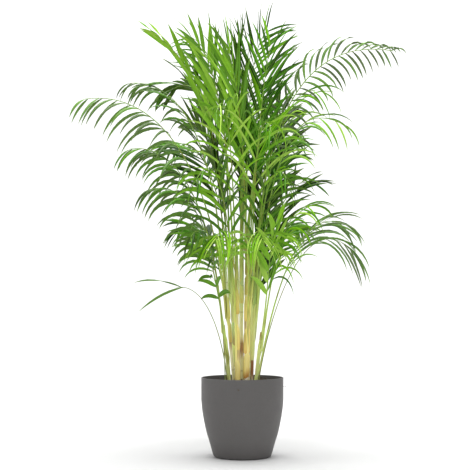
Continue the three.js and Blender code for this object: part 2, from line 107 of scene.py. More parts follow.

# ---- fronds, in mm and degrees -------------------------------------------------------
# cane and height on it (or a point in the soil), the two inner points of the
# arch (x, z), its tip (x, y, z), the bare share of the stalk, the longest
# leaflet, its half width, leaflets a side, roll of the rows about the stalk,
# how far they open, how much they droop, and the tone from dark (0) to lime (1).
# The tone is partly the frond's own colour and partly painted light and shade:
# fronds inside and behind the crown are set dark as painted shade, and the
# fronds in front are set bright as painted light.
FRONDS = {
    "right_1": (("cane_4", 430), (34, 850), (130, 1200), (425, -60, 1140),
                0.48, 112, 3.8, 24, 105, 52, 4, 0.33),
    "right_2": (("cane_4", 390), (64, 740), (110, 1010), (262, -140, 925),
                0.5, 175, 3.4, 8, 35, 40, 1.4, 0.6),
    "right_3": (("cane_8", 430), (60, 760), (105, 1050), (205, -60, 1028),
                0.5, 195, 3.4, 7, 20, 42, 1.6, 0.68),
    "right_4": (("cane_8", 380), (75, 640), (125, 800), (205, 110, 790),
                0.45, 160, 6, 9, 30, 40, 0.6, 0.05),
    "right_5": (("cane_5", 300), (84, 540), (110, 690), (185, -110, 700),
                0.45, 175, 3.6, 10, 26, 50, 1.9, 0.66),
    "right_6": (("cane_5", 245), (84, 430), (150, 700), (275, -60, 655),
                0.55, 195, 3.6, 12, 20, 34, 1.3, 0.46),
    "right_7": ((40, -44), (60, 360), (165, 715), (300, -95, 578),
                0.83, 160, 3.2, 5, 20, 36, 1.6, 0.3),
    "right_8": (("cane_5", 330), (84, 440), (105, 560), (150, -130, 640),
                0.4, 135, 9, 7, 30, 32, 0.6, 0.66),
    "left_1": (("cane_9", 500), (-60, 850), (-95, 1080), (-232, -40, 1180),
               0.6, 150, 6.5, 7, 35, 14, 0.35, 0.72),
    "left_2": (("cane_3", 455), (-72, 870), (-175, 1085), (-345, 60, 1080),
               0.5, 140, 4.6, 12, 10, 36, 1.4, 0.24),
    "left_3": (("cane_3", 390), (-72, 760), (-215, 1040), (-440, -80, 1000),
               0.46, 170, 4.8, 12, 8, 60, 3, 0.3),
    "left_4": (("cane_6", 350), (-72, 650), (-165, 890), (-315, -60, 864),
               0.45, 160, 5.2, 11, 10, 46, 2.2, 0.3),
    "left_5": (("cane_6", 295), (-72, 600), (-120, 770), (-252, -110, 745),
               0.42, 165, 5, 11, 10, 46, 2.2, 0.26),
    "left_6": (("cane_6", 280), (-70, 480), (-105, 690), (-140, -150, 610),
               0.6, 125, 5, 8, 0, 50, 2, 0.34),
    "left_7": (("cane_9", 445), (-50, 800), (-85, 1130), (-200, 80, 1060),
               0.5, 190, 10.5, 12, 20, 34, 0.8, 0.04),
    "young_1": ((-38, -45), (-50, 340), (-100, 490), (-182, -110, 474),
                0.95, 150, 4.2, 1, 50, 25, 0.5, 0.45),
    "young_2": ((-47, -38), (-50, 340), (-62, 480), (-84, -100, 505),
                0.8, 70, 6.5, 3, 0, 50, 1.2, 0.4),
    "top_1": (("cane_7", 600), (18, 880), (10, 1150), (72, 10, 1216),
              0.42, 212, 4.4, 20, 118, 42, 0.45, 0.36),
    "top_2": (("cane_7", 560), (-4, 850), (-15, 1110), (0, -20, 1190),
              0.5, 170, 6, 14, 75, 24, 0.25, 0.3),
    "top_3": (("cane_9", 535), (-48, 850), (-40, 1140), (-146, 10, 1196),
              0.5, 170, 3.4, 14, 60, 34, 1, 0.56),
    "top_4": (("cane_1", 540), (-34, 800), (-55, 1060), (-120, -80, 1150),
              0.5, 190, 6.4, 12, 60, 24, 0.3, 0.56),
    "top_5": (("cane_2", 580), (10, 800), (-5, 1010), (-40, -100, 1140),
              0.42, 210, 5.4, 15, 80, 22, 0.35, 0.55),
    "top_6": (("cane_2", 520), (34, 800), (50, 1000), (78, -60, 1150),
              0.42, 210, 5.4, 15, 80, 30, 0.6, 0.4),
    "front_1": (("cane_1", 470), (-24, 800), (-40, 1060), (-70, -270, 930),
                0.45, 200, 3.4, 9, 15, 36, 1.35, 0.72),
    "front_2": (("cane_2", 450), (24, 760), (50, 1010), (75, -260, 880),
                0.45, 200, 3.4, 9, -15, 36, 1.35, 0.72),
    "front_3": (("cane_1", 370), (-32, 640), (-60, 880), (-120, -250, 760),
                0.45, 185, 4.6, 9, 15, 38, 1.35, 0.5),
    "front_4": (("cane_2", 360), (40, 640), (75, 860), (115, -240, 760),
                0.45, 185, 4.6, 9, -15, 38, 1.35, 0.42),
    "low_1": (("cane_1", 270), (-18, 540), (-38, 690), (-72, -165, 604),
              0.68, 190, 5.6, 10, 0, 62, 2.7, 0.88),
    "low_2": (("cane_2", 290), (14, 540), (30, 690), (56, -185, 600),
              0.68, 190, 4.6, 10, 0, 62, 2.7, 0.86),
    "inner_1": (("cane_8", 440), (50, 750), (60, 950), (110, 150, 1000),
                0.4, 210, 9.5, 12, 60, 30, 0.5, 0),
    "inner_2": (("cane_3", 465), (-58, 700), (-60, 900), (-135, 130, 960),
                0.4, 210, 9.5, 13, 60, 30, 0.5, 0),
    "inner_3": (("cane_7", 500), (-4, 700), (0, 900), (-20, 120, 960),
                0.35, 200, 9.5, 12, 80, 30, 0.5, 0),
    "inner_4": (("cane_4", 340), (50, 480), (60, 600), (75, 60, 690),
                0.4, 130, 9, 8, 70, 30, 0.5, 0.05),
    "back_1": (("cane_8", 510), (44, 700), (100, 960), (200, 300, 950),
               0.42, 180, 7, 14, 0, 45, 1, 0.3),
    "back_2": (("cane_9", 450), (-46, 700), (-100, 950), (-220, 280, 920),
               0.42, 180, 7, 14, 0, 45, 1, 0.3),
    "back_3": (("cane_8", 330), (46, 500), (90, 740), (180, 240, 660),
               0.45, 150, 7, 12, 0, 45, 1, 0.35),
    "back_4": (("cane_9", 320), (-56, 500), (-90, 720), (-190, 230, 650),
               0.45, 150, 7, 12, 0, 45, 1, 0.35),
    "back_5": (("cane_7", 590), (0, 800), (20, 1080), (30, 290, 1040),
               0.42, 180, 7, 14, 0, 45, 1, 0.4),
}
# fronds that leave their cane on another side than their tip's, in degrees from
# +X, and those turned about their cane
FEET = {"left_5": 235, "left_6": 300, "left_1": 235, "left_7": 154,
        "top_3": 255, "back_2": 112, "inner_2": 108}
SWINGS = {"right_8": -30, "left_2": -8, "left_4": -3, "inner_1": -6,
          "inner_2": 3, "inner_4": -4, "back_1": 10, "back_5": -6}

# how greyed the blades of the outermost fronds are, from 0 to 1
DULL = {"right_1": 0.4, "right_2": 0.15, "right_6": 0.36, "right_7": 0.4,
        "left_2": 0.2, "left_3": 0.32, "left_4": 0.14, "left_5": 0.12,
        "left_6": 0.1, "young_1": 0.3}

CANE_STEP = 2 * MM
CANE_WANDER = 1.2 * MM      # how far a cane strays from a straight line
# share of a cane's height and of its stated radius, from the foot to the top
CANE_TAPER = ((0, 1.12), (0.2, 1.0), (0.6, 0.9), (1.0, 0.62))
# the lowest ring scar's height over the soil and how much more it may be, then
# the least and the most from one scar to the next
SCAR_FIRST = (12 * MM, 20 * MM)
SCAR_GAP = (45 * MM, 110 * MM)
SCAR_SWELL = 0.03           # share that a ring scar adds to the cane's radius
SCAR_SWELL_REACH = 2.2 * MM
SCAR_LINE_REACH = 1.4 * MM
RUST_MOST = 0.27            # how strong a rusty patch is, and how far it reaches
RUST_REACH = 35 * MM        # up and down the cane

SPEAR_STEPS = 40
SPEAR_FOOT_STEPS = 4        # a spear starts this many steps down its cane,
SPEAR_FOOT_STEP = 6 * MM    # each this long
SPEAR_BOW = 40 * MM
SPEAR_RADIUS = 3.6 * MM

# a stalk's radius above its sheath, where its leaflets start, and at its tip
STALK_FOOT = 3.36 * MM
STALK_NECK = 1.8 * MM
STALK_TIP = 0.9 * MM
STALK_STEPS = 44
SOIL_STALK = 0.55           # share of that thickness for a stalk straight from the soil
SOIL_STALK_OLIVE = 0.8      # and how olive such a stalk is
FOOT_STANDOFF = 3.7 * MM
ROOT_DEPTH = 40 * MM
SHEATH_LENGTH = 70 * MM
# share of that length below the sheath's mouth, and its thickness over the cane
SHEATH_WRAP = ((1.0, 0.5 * MM), (0.9, 1.4 * MM), (0.6, 1.7 * MM), (0.3, 1.6 * MM))
SHEATH_MOUTH = 8 * MM       # where the stalk starts to leave its cane, below its foot
ARCH_STEPS = 400

ROW_RISE = 25               # degrees that the two rows of leaflets stand up, less
ROW_SINK = 28               # what they sink for each unit of droop, but never
ROW_LOWEST = -20            # below this
LEAFLET_CLOSED = 0.7        # share of a frond's leaflet angle that is left at its tip
LEAFLET_LEAN = 0.45         # how far a leaflet's droop leans towards the frond's tip
BEND_LEVEL = 0.75           # a level leaflet bends nearly evenly, from its root on;
BEND_UPRIGHT = 1.5          # one that points up keeps its bend for its end
BEND_LIMIT = 0.92           # the most bend, as a share of the turn to straight down
# how leaflets differ from each other: each is an even draw between two values
VARIES = {
    "roll": (-0.10, 0.10), "open": (-0.12, 0.12), "lift": (-0.18, 0.18),
    "length": (0.86, 1.04), "width": (0.82, 1.12), "bend": (0.7, 1.25),
    "twist": (-0.5, 0.5), "tone": (-0.28, 0.28), "stagger": (-0.15, 0.15),
}


# ---- materials -----------------------------------------------------------------------
class Shader:
    """One procedural material: its nodes and the surface shader they feed."""

    def __init__(self, name, roughness, specular):
        self.material = bpy.data.materials.new(name)
        self.material.use_nodes = True
        self.tree = self.material.node_tree
        self.surface = self.tree.nodes["Principled BSDF"]
        self.surface.inputs["Roughness"].default_value = roughness
        self.surface.inputs["Specular IOR Level"].default_value = specular

    def node(self, kind, inputs=None, **settings):
        made = self.tree.nodes.new(kind)
        for key, value in settings.items():
            setattr(made, key, value)
        for key, value in (inputs or {}).items():
            socket = made.inputs[key]
            if isinstance(value, bpy.types.NodeSocket):
                self.tree.links.new(value, socket)
            else:
                socket.default_value = value
        return made

    def attribute(self, name):
        return self.node("ShaderNodeAttribute", attribute_name=name).outputs["Fac"]

    def place(self):
        return self.node("ShaderNodeTexCoord").outputs["Object"]

    def height(self):
        return self.node("ShaderNodeSeparateXYZ", {0: self.place()}).outputs["Z"]

    def noise(self, scale, detail=3.0, stretch=None, rough=0.5):
        vector = self.place()
        if stretch:
            vector = self.node("ShaderNodeMapping", {"Vector": vector, "Scale": stretch}).outputs[0]
        made = self.node("ShaderNodeTexNoise", {
            "Vector": vector, "Scale": scale, "Detail": detail, "Roughness": rough})
        return made.outputs["Fac"]

    def ramp(self, value, stops):
        made = self.node("ShaderNodeValToRGB", {"Fac": value})
        elements = made.color_ramp.elements
        while len(elements) < len(stops):
            elements.new(0.5)
        for element, (position, colour) in zip(elements, stops):
            element.position = position
            element.color = (*linear(colour), 1)
        return made.outputs["Color"]

    def maths(self, operation, a, b=0.0):
        return self.node("ShaderNodeMath", {0: a, 1: b}, operation=operation).outputs[0]

    def mix(self, share, a, b):
        made = self.node("ShaderNodeMix", data_type="RGBA")
        for socket, value in zip((made.inputs[0], made.inputs[6], made.inputs[7]), (share, a, b)):
            if isinstance(value, bpy.types.NodeSocket):
                self.tree.links.new(value, socket)
            else:
                socket.default_value = value if isinstance(value, float) else (*linear(value), 1)
        return made.outputs[2]

    def spread(self, value, low, high, to_low=0.0, to_high=1.0):
        made = self.node("ShaderNodeMapRange", {
            "Value": value, "From Min": low, "From Max": high,
            "To Min": to_low, "To Max": to_high})
        return made.outputs["Result"]

    def stain(self, colour, pattern, low, high, most, tint):
        """The colour, tinted by up to a share of most where the pattern is high."""
        return self.mix(self.spread(pattern, low, high, 0.0, most), colour, tint)

    def greening(self, colour, most):
        """The colour of a stem, greener the higher it is in the crown."""
        return self.stain(colour, self.height(), 0.36, 0.66, most, (122, 164, 54))

    def finish(self, colour, roughness=None, bump=None, strength=0.2, distance=0.001):
        """The material, with its roughness and its bump where they have a pattern."""
        links = self.tree.links
        links.new(colour, self.surface.inputs["Base Color"])
        if roughness is not None:
            links.new(roughness, self.surface.inputs["Roughness"])
        if bump is not None:
            made = self.node("ShaderNodeBump", {
                "Height": bump, "Strength": strength, "Distance": distance})
            links.new(made.outputs[0], self.surface.inputs["Normal"])
        return self.material


def linear(colour):
    """A colour given as 0 to 255 display values, as linear light."""
    return tuple((c / 255 / 12.92) if c < 11 else ((c / 255 + 0.055) / 1.055) ** 2.4 for c in colour)


def leaf_blade():
    """Satin leaf: tone by leaflet, painted light and shade by frond, painted light at the tips, fine
    ribs along it, paler beneath.
    """
    s = Shader("leaf_blade", roughness=0.42, specular=0.14)
    # the tone is partly the leaves' own colour and partly painted shade and light: dark for fronds
    # inside the crown, bright for fronds in front
    tone = s.attribute("tone")
    top = s.ramp(tone, ((0.0, (4, 30, 0)), (0.25, (26, 74, 6)), (0.5, (68, 134, 8)),
                        (0.75, (142, 206, 22)), (1.0, (206, 242, 110))))
    top = s.stain(top, s.noise(22.0, 3.0), 0.35, 0.75, 0.3, (104, 154, 24))
    across = s.attribute("blade_across")
    midrib = s.spread(s.maths("ABSOLUTE", across), 0.0, 0.14, 0.45, 0.0)
    top = s.mix(midrib, top, (160, 196, 88))
    # greyer and paler towards the tips: painted light, leaving the roots darker as if in shade
    top = s.stain(top, s.attribute("blade_along"), 0.84, 1.0, 0.45, (150, 160, 96))
    top = s.mix(s.attribute("dull"), top, (134, 146, 112))
    under = s.mix(0.34, top, (120, 158, 64))
    colour = s.mix(s.attribute("blade_under"), top, under)
    ribs = s.maths("SINE", s.maths("MULTIPLY", across, 46.0))
    rough = s.spread(s.noise(60.0, 2.0), 0.3, 0.7, 0.32, 0.50)
    return s.finish(colour, rough, ribs, strength=0.2, distance=0.0004)


def stalk_skin():
    """Waxy stalk: cream or lime at the sheath, leaf green at the tip, rust on old sheaths."""
    s = Shader("stalk_skin", roughness=0.42, specular=0.35)
    along, ripe = s.attribute("stalk_along"), s.attribute("ripe")
    mottle = s.noise(14.0, 3.0, stretch=(3.0, 3.0, 0.35))
    blend = s.maths("ADD", along, s.spread(mottle, 0.2, 0.8, -0.08, 0.08))
    gold = s.ramp(blend, ((0.0, (248, 220, 126)), (0.16, (252, 238, 150)),
                          (0.45, (222, 230, 112)), (0.85, (122, 172, 52))))
    green = s.ramp(blend, ((0.0, (222, 232, 160)), (0.16, (204, 224, 128)),
                           (0.45, (172, 208, 88)), (0.85, (112, 166, 50))))
    colour = s.greening(s.mix(ripe, green, gold), 0.8)
    colour = s.mix(s.attribute("olive"), colour, (116, 132, 78))
    streaks = s.noise(90.0, 2.0, stretch=(1.0, 1.0, 0.06))
    colour = s.stain(colour, streaks, 0.5, 0.64, 0.7, (128, 126, 40))
    rust = s.maths("ADD", s.noise(11.0, 4.0, stretch=(1.6, 1.6, 0.22), rough=0.6),
                   s.spread(along, 0.0, 0.3, 0.07, -0.4))
    rust = s.maths("MULTIPLY", s.spread(rust, 0.52, 0.64, 0.0, 0.85), ripe)
    colour = s.mix(rust, colour, (186, 112, 34))
    return s.finish(colour, None, streaks, strength=0.15, distance=0.0004)


def cane_skin():
    """Cane from green to ripe gold, with rusty patches and faint ring scars."""
    s = Shader("cane_skin", roughness=0.45, specular=0.3)
    along, ripe = s.attribute("stalk_along"), s.attribute("ripe")
    gold = s.ramp(along, ((0.0, (252, 234, 166)), (0.4, (254, 240, 174)),
                          (0.65, (250, 248, 190)), (1.0, (190, 218, 120))))
    green = s.ramp(along, ((0.0, (228, 240, 208)), (0.5, (190, 220, 146)), (1.0, (112, 162, 58))))
    colour = s.greening(s.mix(ripe, green, gold), 0.8)
    streaks = s.noise(80.0, 3.0, stretch=(1.0, 1.0, 0.035))
    # dark streaks: partly the cane's own streaking, partly painted shade for the dark gaps between the
    # canes
    colour = s.stain(colour, streaks, 0.47, 0.6, 0.75, (150, 118, 48))
    # near-white streaks: painted highlight, standing for the lit edges of the canes
    painted_highlight = s.noise(55.0, 2.0, stretch=(1.0, 1.0, 0.05))
    colour = s.stain(colour, painted_highlight, 0.46, 0.64, 0.85, (255, 252, 228))
    rust = s.noise(9.0, 4.0, stretch=(1.6, 1.6, 0.3), rough=0.6)
    rust = s.maths("ADD", rust, s.attribute("rusty"))
    colour = s.stain(colour, rust, 0.60, 0.78, 0.85, (150, 84, 30))
    colour = s.mix(s.maths("MULTIPLY", s.attribute("scar"), 0.45), colour, (124, 98, 46))
    bump = s.maths("ADD", streaks, s.attribute("scar"))
    rough = s.spread(rust, 0.4, 0.7, 0.40, 0.66)
    return s.finish(colour, rough, bump, strength=0.3, distance=0.0006)


def pot_plastic():
    """Matte charcoal moulding with a fine satin grain."""
    s = Shader("pot_plastic", roughness=0.5, specular=0.3)
    grain = s.noise(520.0, 3.0, rough=0.6)
    cloud = s.noise(7.0, 3.0)
    colour = s.mix(s.spread(cloud, 0.3, 0.7), (88, 86, 85), (94, 92, 91))
    colour = s.stain(colour, grain, 0.3, 0.7, 0.5, (105, 103, 102))
    # darker towards the foot: painted shade near the floor
    colour = s.mix(s.spread(s.height(), 0.0, 0.05, 0.35, 0.0), colour, (66, 63, 62))
    rough = s.spread(s.noise(40.0, 3.0), 0.3, 0.7, 0.46, 0.58)
    return s.finish(colour, rough, grain, strength=0.15, distance=0.0005)


def soil_crumb():
    """Damp dark soil with lighter fibre and bark."""
    s = Shader("soil_crumb", roughness=0.92, specular=0.15)
    fine = s.noise(160.0, 5.0, rough=0.65)
    broad = s.noise(22.0, 3.0)
    colour = s.ramp(fine, ((0.25, (34, 24, 17)), (0.5, (62, 46, 32)), (0.75, (104, 80, 54))))
    colour = s.stain(colour, broad, 0.4, 0.7, 0.5, (48, 35, 25))
    return s.finish(colour, None, fine, strength=0.8, distance=0.002)


def root_fibre():
    """Brown fibre of old sheaths and roots at the stems' feet."""
    s = Shader("root_fibre", roughness=0.85, specular=0.2)
    strands = s.noise(120.0, 4.0, stretch=(1.0, 1.0, 0.1))
    colour = s.ramp(strands, ((0.3, (44, 30, 20)), (0.6, (92, 66, 40)), (0.8, (138, 106, 66))))
    return s.finish(colour, None, strands, strength=0.6, distance=0.001)


def stage_white():
    """Plain pale floor and backdrop."""
    s = Shader("stage_white", roughness=0.9, specular=0.1)
    tint = s.noise(0.6, 2.0)
    return s.finish(s.mix(s.spread(tint, 0.3, 0.7), (205, 205, 205), (208, 208, 208)))


# ---- geometry nodes ------------------------------------------------------------------
class Field:
    """A socket of a node tree, with arithmetic that adds the nodes for it."""

    def __init__(self, tree, socket):
        self.tree = tree
        self.socket = socket

    @property
    def is_vector(self):
        return self.socket.type == "VECTOR"

    def _pair(self, operation, other):
        vector = self.is_vector or (isinstance(other, Field) and other.is_vector)
        if vector and operation == "MULTIPLY" and not (
                self.is_vector and isinstance(other, Field) and other.is_vector):
            arrow, size = (self, other) if self.is_vector else (other, self)
            return self.tree.vector("SCALE", arrow, Scale=size)
        if vector:
            return self.tree.vector(operation, self, other)
        return self.tree.number(operation, self, other)

    def __add__(self, other):
        return self._pair("ADD", other)

    def __sub__(self, other):
        return self._pair("SUBTRACT", other)

    def __rsub__(self, other):
        return self * -1.0 + other

    def __mul__(self, other):
        return self._pair("MULTIPLY", other)

    __rmul__ = __mul__

    def __truediv__(self, other):
        return self.tree.number("DIVIDE", self, other)

    def __pow__(self, power):
        return self.tree.number("POWER", self, power)

    def dot(self, other):
        return self.tree.vector("DOT_PRODUCT", self, other, output="Value")

    def cross(self, other):
        return self.tree.vector("CROSS_PRODUCT", self, other)

    def unit(self):
        return self.tree.vector("NORMALIZE", self)


class NodeTree:
    """A Geometry Nodes tree built by name: inputs, nodes and fields."""

    def __init__(self, name):
        self.group = bpy.data.node_groups.new(name, "GeometryNodeTree")
        self.group.interface.new_socket("Shape", in_out="INPUT", socket_type="NodeSocketGeometry")
        self.group.interface.new_socket("Shape", in_out="OUTPUT", socket_type="NodeSocketGeometry")
        self.start = self.group.nodes.new("NodeGroupInput")
        self.end = self.group.nodes.new("NodeGroupOutput")
        self.keys = {}

    def shape(self):
        return self.start.outputs[0]

    def entry(self, name, kind="Float"):
        item = self.group.interface.new_socket(
            name, in_out="INPUT", socket_type="NodeSocket" + kind)
        self.keys[name] = item.identifier
        return Field(self, self.start.outputs[name])

    def node(self, kind, inputs=None, **settings):
        made = self.group.nodes.new(kind)
        for key, value in settings.items():
            setattr(made, key, value)
        for key, value in (inputs or {}).items():
            self.feed(made.inputs[key], value)
        return made

    def feed(self, socket, value):
        if isinstance(value, Field):
            value = value.socket
        if isinstance(value, bpy.types.NodeSocket):
            self.group.links.new(value, socket)
        else:
            socket.default_value = value

    def number(self, operation, *values):
        made = self.node("ShaderNodeMath", dict(enumerate(values)), operation=operation)
        return Field(self, made.outputs[0])

    def vector(self, operation, *values, output="Vector", **named):
        made = self.node("ShaderNodeVectorMath", operation=operation)
        for socket, value in zip(made.inputs, values):
            self.feed(socket, value)
        for key, value in named.items():
            self.feed(made.inputs[key], value)
        return Field(self, made.outputs[output])

    def circle(self, angle):
        """The cosine and the sine of an angle."""
        return self.number("COSINE", angle), self.number("SINE", angle)

    def random(self, low, high, seed, salt):
        made = self.node("FunctionNodeRandomValue", data_type="FLOAT")
        floats = [s for s in made.inputs if s.enabled]
        self.feed(floats[0], low)
        self.feed(floats[1], high)
        self.feed(made.inputs["Seed"], seed + float(salt))
        return Field(self, next(s for s in made.outputs if s.enabled))

    def index(self):
        return Field(self, self.node("GeometryNodeInputIndex").outputs[0])

    def axis(self, field, letter):
        made = self.node("ShaderNodeSeparateXYZ", {0: field})
        return Field(self, made.outputs[letter])

    def named(self, name, kind="FLOAT"):
        made = self.node("GeometryNodeInputNamedAttribute", {"Name": name}, data_type=kind)
        return Field(self, next(s for s in made.outputs if s.enabled))

    def store(self, shape, name, field, kind="FLOAT"):
        made = self.node("GeometryNodeStoreNamedAttribute", {
            "Geometry": shape, "Name": name}, data_type=kind, domain="POINT")
        self.feed(next(s for s in made.inputs if s.enabled and s.name == "Value"), field)
        return made.outputs[0]

    def forget(self, shape, *names):
        for name in names:
            shape = self.node("GeometryNodeRemoveAttribute", {
                "Geometry": shape, "Name": name}).outputs[0]
        return shape

    def strew(self, piece, points, **turns):
        """An object's shape at every point, as real geometry."""
        info = self.node("GeometryNodeObjectInfo", {"Object": piece})
        copies = self.node("GeometryNodeInstanceOnPoints", {
            "Points": points, "Instance": info.outputs["Geometry"], **turns})
        return self.node("GeometryNodeRealizeInstances", {0: copies.outputs[0]}).outputs[0]

    def paint(self, shape, material):
        return self.node("GeometryNodeSetMaterial", {
            "Geometry": shape, "Material": material}).outputs[0]

    def join(self, *shapes):
        joined = self.node("GeometryNodeJoinGeometry")
        for shape in shapes:
            self.group.links.new(shape, joined.inputs[0])
        return joined.outputs[0]

    def finish(self, shape):
        self.group.links.new(shape, self.end.inputs[0])
        return self


def grow(tree, host, values, name):
    """The tree's result on a host mesh, as a plain mesh object at the origin."""
    modifier = host.modifiers.new("grow", "NODES")
    modifier.node_group = tree.group
    for key, value in values.items():
        modifier[tree.keys[key]] = value
    bpy.context.view_layer.update()
    evaluated = host.evaluated_get(bpy.context.evaluated_depsgraph_get())
    mesh = bpy.data.meshes.new_from_object(evaluated)
    mesh.name = name
    host.modifiers.remove(modifier)
    bpy.data.objects.remove(host)
    return show(name, mesh)


def show(name, data):
    piece = bpy.data.objects.new(name, data)
    SCENE.collection.objects.link(piece)
    return piece


def line_host(name, points, **values):
    """A polyline mesh whose points carry named values."""
    mesh = bpy.data.meshes.new(name)
    mesh.from_pydata(points, [(i, i + 1) for i in range(len(points) - 1)], [])
    for key, numbers in values.items():
        layer = mesh.attributes.new(key, "FLOAT", "POINT")
        layer.data.foreach_set("value", numbers)
    return show(name, mesh)


# ---- one leaflet's blade -------------------------------------------------------------
BLADE_STEPS = (0.0, 0.05, 0.14, 0.28, 0.42, 0.56, 0.7, 0.82, 0.92)
BLADE_FOLD = 0.38
BLADE_THICKNESS = 0.10


def blade_half_width(along):
    """Share of the half width: narrow root, broad third, long taper."""
    broadest = 0.3
    if along < broadest:
        return 0.24 + 0.76 * math.sin(math.pi / 2 * along / broadest)
    return math.cos(math.pi / 2 * ((along - broadest) / (1 - broadest)) ** 1.5)


def blade_pattern():
    """A closed blade, ridged along its middle: x along it from 0 to 1, y across, z up."""
    corners, faces, under = [], [(0, 1, 3), (1, 2, 3)], [0.0, 1.0]
    for along in BLADE_STEPS:
        half = blade_half_width(along)
        depth = BLADE_THICKNESS * (0.4 + 0.6 * half)
        corners += [(along, -half, -BLADE_FOLD * half), (along, 0, 0),
                    (along, half, -BLADE_FOLD * half), (along, 0, -depth)]
    tip = len(corners)
    corners.append((1, 0, 0))
    for ring in range(len(BLADE_STEPS)):
        a, b = 4 * ring, 4 * ring + 4
        for side in range(4):
            following = (side + 1) % 4
            if b < tip:
                faces.append((a + side, b + side, b + following, a + following))
            else:
                faces.append((a + side, tip, a + following))
            under.append(0.0 if side < 2 else 1.0)
    mesh = bpy.data.meshes.new("blade")
    mesh.from_pydata(corners, [], faces)
    for key, numbers, domain in (
            ("blade_along", [c[0] for c in corners], "POINT"),
            ("blade_across", [c[1] for c in corners], "POINT"),
            ("blade_up", [c[2] for c in corners], "POINT"),
            ("blade_under", under, "FACE")):
        layer = mesh.attributes.new(key, "FLOAT", domain)
        layer.data.foreach_set("value", numbers)
    uv = mesh.uv_layers.new(name="UVMap")
    for loop in mesh.loops:
        x, y, _ = corners[loop.vertex_index]
        uv.data[loop.index].uv = (x, 0.5 + y / 2)
    mesh.shade_smooth()
    lengthwise = [abs(edge.vertices[0] - edge.vertices[1]) % 4 == 0 or tip in edge.vertices
                  for edge in mesh.edges]
    mesh.attributes.new("sharp_edge", "BOOLEAN", "EDGE").data.foreach_set("value", lengthwise)
    return show("blade", mesh)


# ---- the frond tree ------------------------------------------------------------------
def frond_tree(leaf, skin):
    """Stalk and leaflets on a polyline that carries thickness and stalk_along."""
    t = NodeTree("frond")
    blade = t.entry("Blade", "Object")
    leafy_from = t.entry("Leafy from")
    pairs = t.entry("Leaflets a side", "Int")
    longest = t.entry("Longest leaflet")
    half_width = t.entry("Half width")
    level = t.entry("Level side", "Vector")
    roll = t.entry("Roll")
    opening = t.entry("Open")
    closing = t.entry("Open at tip")
    rise = t.entry("Rise")
    droop = t.entry("Droop")
    tone = t.entry("Tone and shade")
    dull = t.entry("Dull")
    seed = t.entry("Seed", "Int")

    def vary(measure):
        return t.random(*VARIES[measure], seed, 1 + list(VARIES).index(measure))

    # points along the leafy part, each carrying the stalk's run and its share of the way
    line = t.node("GeometryNodeMeshToCurve", {"Mesh": t.shape()}).outputs[0]
    leafy = t.node("GeometryNodeTrimCurve", {0: line, "Start": leafy_from, "End": 0.992})
    places = t.node("GeometryNodeCurveToPoints", {0: leafy.outputs[0], "Count": pairs})
    points = t.store(places.outputs["Points"], "run", Field(t, places.outputs["Tangent"]),
                     "FLOAT_VECTOR")
    points = t.store(points, "share", (t.index() + 0.5) / pairs)
    doubled = t.node("GeometryNodeDuplicateElements", {0: points, "Amount": 2}, domain="POINT")
    points = t.store(doubled.outputs[0], "hand",
                     Field(t, doubled.outputs["Duplicate Index"]) * 2.0 - 1.0)
    run = t.named("run", "FLOAT_VECTOR")
    share = t.named("share")
    hand = t.named("hand")

    # which way each leaflet leaves the stalk
    side = (level - run * level.dot(run)).unit()
    up = run.cross(side)
    cosine, sine = t.circle(roll + vary("roll"))
    rolled_side = side * cosine + up * sine
    rolled_up = up * cosine - side * sine
    cosine, sine = t.circle(rise + vary("lift"))
    outward = rolled_side * (hand * cosine) + rolled_up * sine
    cosine, sine = t.circle(opening + (closing - opening) * share ** 1.3 + vary("open"))
    direction = (run * cosine + outward * sine).unit()
    points = t.store(points, "direction", direction, "FLOAT_VECTOR")
    climb = t.axis(direction, "Z")

    # how long, wide, bent and coloured it is, its tone carrying painted light and shade
    fullness = (share * 2.0 - 0.75) ** 2.0 * -0.35 + 1.0
    sideways = t.number("SQRT", t.number("MAXIMUM", climb ** 2.0 * -1.0 + 1.0, 0.0))
    limit = t.number("ARCCOSINE", climb * -1.0) * BEND_LIMIT
    bend = droop * (sideways + 0.25) * vary("bend")
    bend = t.number("MAXIMUM", t.number("MINIMUM", bend, limit), 0.01)
    for key, field in (
            ("length", longest * fullness * vary("length")),
            ("half_width", half_width * (fullness * 0.6 + 0.4) * vary("width")),
            ("bend", bend),
            ("late", t.number("MAXIMUM", climb, 0.0) * BEND_UPRIGHT + BEND_LEVEL),
            ("twist", vary("twist")),
            ("tone", tone + vary("tone")),
            ("dull", dull)):
        points = t.store(points, key, field)
    stagger = run * (hand * 0.25 + vary("stagger")) * (longest * 0.1)
    place = Field(t, t.node("GeometryNodeInputPosition").outputs[0])
    points = t.store(points, "root", place + stagger, "FLOAT_VECTOR")

    leaflets = t.node("GeometryNodeSetPosition", {
        "Geometry": t.strew(blade, points), "Position": bent_place(t)}).outputs[0]
    leaflets = t.forget(leaflets, "run", "share", "hand", "direction", "length", "half_width",
                        "bend", "late", "twist", "root", "blade_up", "radius", "thickness",
                        "stalk_along", "ripe", "olive")
    return t.finish(t.join(t.paint(leaflets, leaf), stalk_tube(t, line, skin)))


def stalk_tube(t, line, skin, sides=10):
    """A closed round tube on the line, as thick as the line's points say."""
    ring = t.node("GeometryNodeCurvePrimitiveCircle", {"Resolution": sides, "Radius": 1.0})
    tube = t.node("GeometryNodeCurveToMesh", {
        "Curve": line, "Profile Curve": ring.outputs[0], "Scale": t.named("thickness"),
        "Fill Caps": True})
    tube = t.node("GeometryNodeSetShadeSmooth", {"Geometry": tube.outputs[0]})
    tube = t.node("GeometryNodeRealizeInstances", {0: tube.outputs[0]})
    return t.forget(t.paint(tube.outputs[0], skin), "thickness", "radius")


